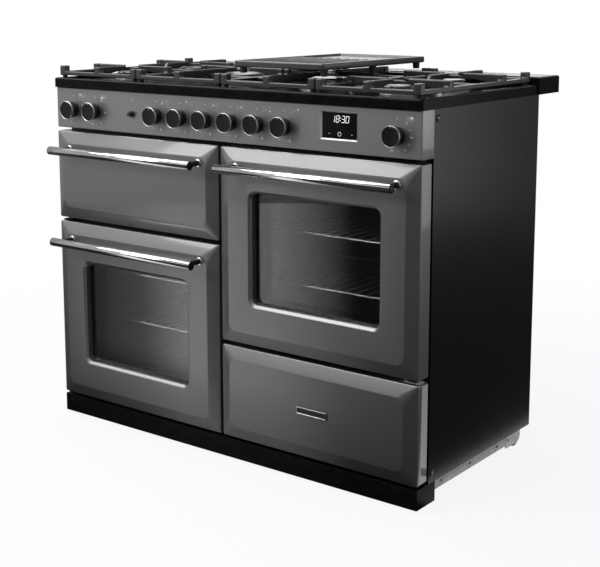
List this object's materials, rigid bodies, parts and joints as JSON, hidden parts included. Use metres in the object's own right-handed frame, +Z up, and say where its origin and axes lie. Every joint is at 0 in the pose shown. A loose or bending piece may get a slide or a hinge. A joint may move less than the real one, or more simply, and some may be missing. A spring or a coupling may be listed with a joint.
{
  "type": "range cooker",
  "caption": "Wide free-standing dual-fuel range cooker with gas hob and griddle, drop-down grill door, side-hung windowed oven doors, storage drawer and bar handles.",
  "frame": {"origin": "on the floor under the middle of the whole cooker", "axes": "+X to the cook's right, +Y to the back, +Z up"},
  "size_m": [1.102, 0.6844, 0.944],
  "materials": {
    "grey_paint": "satin metallic grey paint",
    "black_enamel": "gloss black",
    "black_panel": "fine textured black paint",
    "dark_enamel": "speckled dark enamel",
    "zinc": "galvanised sheet",
    "chrome": "polished",
    "cast_iron": "matt black casting",
    "burner_alloy": "machined",
    "cap_enamel": "satin black enamel",
    "knob_black": "satin black",
    "black_plastic": "moulded",
    "brass": "cast",
    "door_glass": "tinted toughened glass",
    "seal_rubber": "silicone heat seal"
  },
  "bodies": {
    "cooker_body": {"base_frame": "zinc", "levelling_feet": "zinc", "side_panels": "black_panel", "rear_panel": "zinc", "terminal_box": "black_plastic", "plinth": "black_enamel", "control_panel": "grey_paint", "clock_module": "black_plastic", "taps_and_switches": "brass", "gas_manifold": "zinc", "hob_top": "black_enamel", "rear_vent": "black_enamel", "burner_bases": "burner_alloy", "burner_crowns": "burner_alloy", "burner_caps": "cap_enamel", "left_oven_cavity": "dark_enamel", "right_oven_cavity": "dark_enamel", "grill_cavity": "dark_enamel", "heating_elements": "chrome", "fan_baffles": "dark_enamel", "fan_motors": "zinc", "shelf_ladders": "chrome", "oven_shelves": "chrome", "grill_pan": "dark_enamel", "door_seals": "seal_rubber", "hinge_brackets": "zinc", "drawer_rails": "zinc", "roller_brackets": "zinc"},
    "grill_door": {"grill_door_skin": "grey_paint", "grill_door_liner": "dark_enamel", "grill_door_handle": "chrome"},
    "drawer": {"drawer_front": "grey_paint", "drawer_box": "dark_enamel"},
    "left_oven_door": {"left_oven_door_skin": "grey_paint", "left_oven_door_liner": "dark_enamel", "left_oven_door_glass": "door_glass", "left_oven_door_handle": "chrome"},
    "right_oven_door": {"right_oven_door_skin": "grey_paint", "right_oven_door_liner": "dark_enamel", "right_oven_door_glass": "door_glass", "right_oven_door_handle": "chrome"},
    "burner_knob_1": {"burner_knob_1": "knob_black"},
    "burner_knob_2": {"burner_knob_2": "knob_black"},
    "burner_knob_3": {"burner_knob_3": "knob_black"},
    "burner_knob_4": {"burner_knob_4": "knob_black"},
    "burner_knob_5": {"burner_knob_5": "knob_black"},
    "burner_knob_6": {"burner_knob_6": "knob_black"},
    "grill_knob": {"grill_knob": "knob_black"},
    "left_oven_knob": {"left_oven_knob": "knob_black"},
    "right_oven_knob": {"right_oven_knob": "knob_black"},
    "pan_support_1": {"pan_support_1": "cast_iron"},
    "pan_support_2": {"pan_support_2": "cast_iron"},
    "pan_support_3": {"pan_support_3": "cast_iron"},
    "pan_support_4": {"pan_support_4": "cast_iron"},
    "push_button": {"push_button": "black_plastic"},
    "left_oven_fan": {"left_oven_fan": "burner_alloy"},
    "right_oven_fan": {"right_oven_fan": "burner_alloy"},
    "left_roller": {"left_roller": "black_plastic"},
    "right_roller": {"right_roller": "black_plastic"},
    "griddle": {"griddle": "cast_iron"}
  },
  "joints": [
    {"name": "grill_door_drop", "type": "hinge", "parent": "cooker_body", "child": "grill_door", "pos_m": [-0.2745, -0.25975, 0.546], "axis": [1, 0, 0], "range_deg": [0, 90]},
    {"name": "left_oven_door_swing", "type": "hinge", "parent": "cooker_body", "child": "left_oven_door", "pos_m": [-0.525, -0.25975, 0.2865], "axis": [0, 0, -1], "range_deg": [0, 100]},
    {"name": "right_oven_door_swing", "type": "hinge", "parent": "cooker_body", "child": "right_oven_door", "pos_m": [0.525, -0.25975, 0.5205], "axis": [0, 0, 1], "range_deg": [0, 100]},
    {"name": "drawer_slide", "type": "slide", "parent": "cooker_body", "child": "drawer", "axis": [0, -1, 0], "range_m": [0, 0.32]},
    {"name": "push_button_press", "type": "slide", "parent": "cooker_body", "child": "push_button", "axis": [0, 1, 0], "range_m": [0, 0.003], "stiffness_N_per_m": 500, "springref_m": -0.002},
    {"name": "burner_knob_1_turn", "type": "hinge", "parent": "cooker_body", "child": "burner_knob_1", "pos_m": [-0.198, -0.27175, 0.8065], "axis": [0, -1, 0], "range_deg": [0, 210]},
    {"name": "burner_knob_2_turn", "type": "hinge", "parent": "cooker_body", "child": "burner_knob_2", "pos_m": [-0.1204, -0.27175, 0.8065], "axis": [0, -1, 0], "range_deg": [0, 210]},
    {"name": "burner_knob_3_turn", "type": "hinge", "parent": "cooker_body", "child": "burner_knob_3", "pos_m": [-0.0428, -0.27175, 0.8065], "axis": [0, -1, 0], "range_deg": [0, 210]},
    {"name": "burner_knob_4_turn", "type": "hinge", "parent": "cooker_body", "child": "burner_knob_4", "pos_m": [0.0348, -0.27175, 0.8065], "axis": [0, -1, 0], "range_deg": [0, 210]},
    {"name": "burner_knob_5_turn", "type": "hinge", "parent": "cooker_body", "child": "burner_knob_5", "pos_m": [0.1124, -0.27175, 0.8065], "axis": [0, -1, 0], "range_deg": [0, 210]},
    {"name": "burner_knob_6_turn", "type": "hinge", "parent": "cooker_body", "child": "burner_knob_6", "pos_m": [0.19, -0.27175, 0.8065], "axis": [0, -1, 0], "range_deg": [0, 210]},
    {"name": "grill_knob_turn", "type": "hinge", "parent": "cooker_body", "child": "grill_knob", "pos_m": [-0.484, -0.27175, 0.8065], "axis": [0, 1, 0], "range_deg": [0, 270]},
    {"name": "left_oven_knob_turn", "type": "hinge", "parent": "cooker_body", "child": "left_oven_knob", "pos_m": [-0.4064, -0.27175, 0.8065], "axis": [0, 1, 0], "range_deg": [0, 270]},
    {"name": "right_oven_knob_turn", "type": "hinge", "parent": "cooker_body", "child": "right_oven_knob", "pos_m": [0.484, -0.27175, 0.8065], "axis": [0, 1, 0], "range_deg": [0, 270]},
    {"name": "left_oven_fan_spin", "type": "hinge", "parent": "cooker_body", "child": "left_oven_fan", "pos_m": [-0.2745, 0.15825, 0.2865], "axis": [0, 1, 0], "continuous": true},
    {"name": "right_oven_fan_spin", "type": "hinge", "parent": "cooker_body", "child": "right_oven_fan", "pos_m": [0.2745, 0.15825, 0.5205], "axis": [0, 1, 0], "continuous": true},
    {"name": "left_roller_spin", "type": "hinge", "parent": "cooker_body", "child": "left_roller", "pos_m": [-0.515, 0.21325, 0.022], "axis": [1, 0, 0], "continuous": true},
    {"name": "right_roller_spin", "type": "hinge", "parent": "cooker_body", "child": "right_roller", "pos_m": [0.515, 0.21325, 0.022], "axis": [1, 0, 0], "continuous": true},
    {"name": "pan_support_1_lift", "type": "slide", "parent": "cooker_body", "child": "pan_support_1", "axis": [0, 0, 1], "range_m": [0, 0.12]},
    {"name": "pan_support_2_lift", "type": "slide", "parent": "cooker_body", "child": "pan_support_2", "axis": [0, 0, 1], "range_m": [0, 0.12]},
    {"name": "pan_support_3_lift", "type": "slide", "parent": "cooker_body", "child": "pan_support_3", "axis": [0, 0, 1], "range_m": [0, 0.12]},
    {"name": "pan_support_4_lift", "type": "slide", "parent": "cooker_body", "child": "pan_support_4", "axis": [0, 0, 1], "range_m": [0, 0.12]},
    {"name": "griddle_lift", "type": "slide", "parent": "pan_support_3", "child": "griddle", "axis": [0, 0, 1], "range_m": [0, 0.12]}
  ]
}
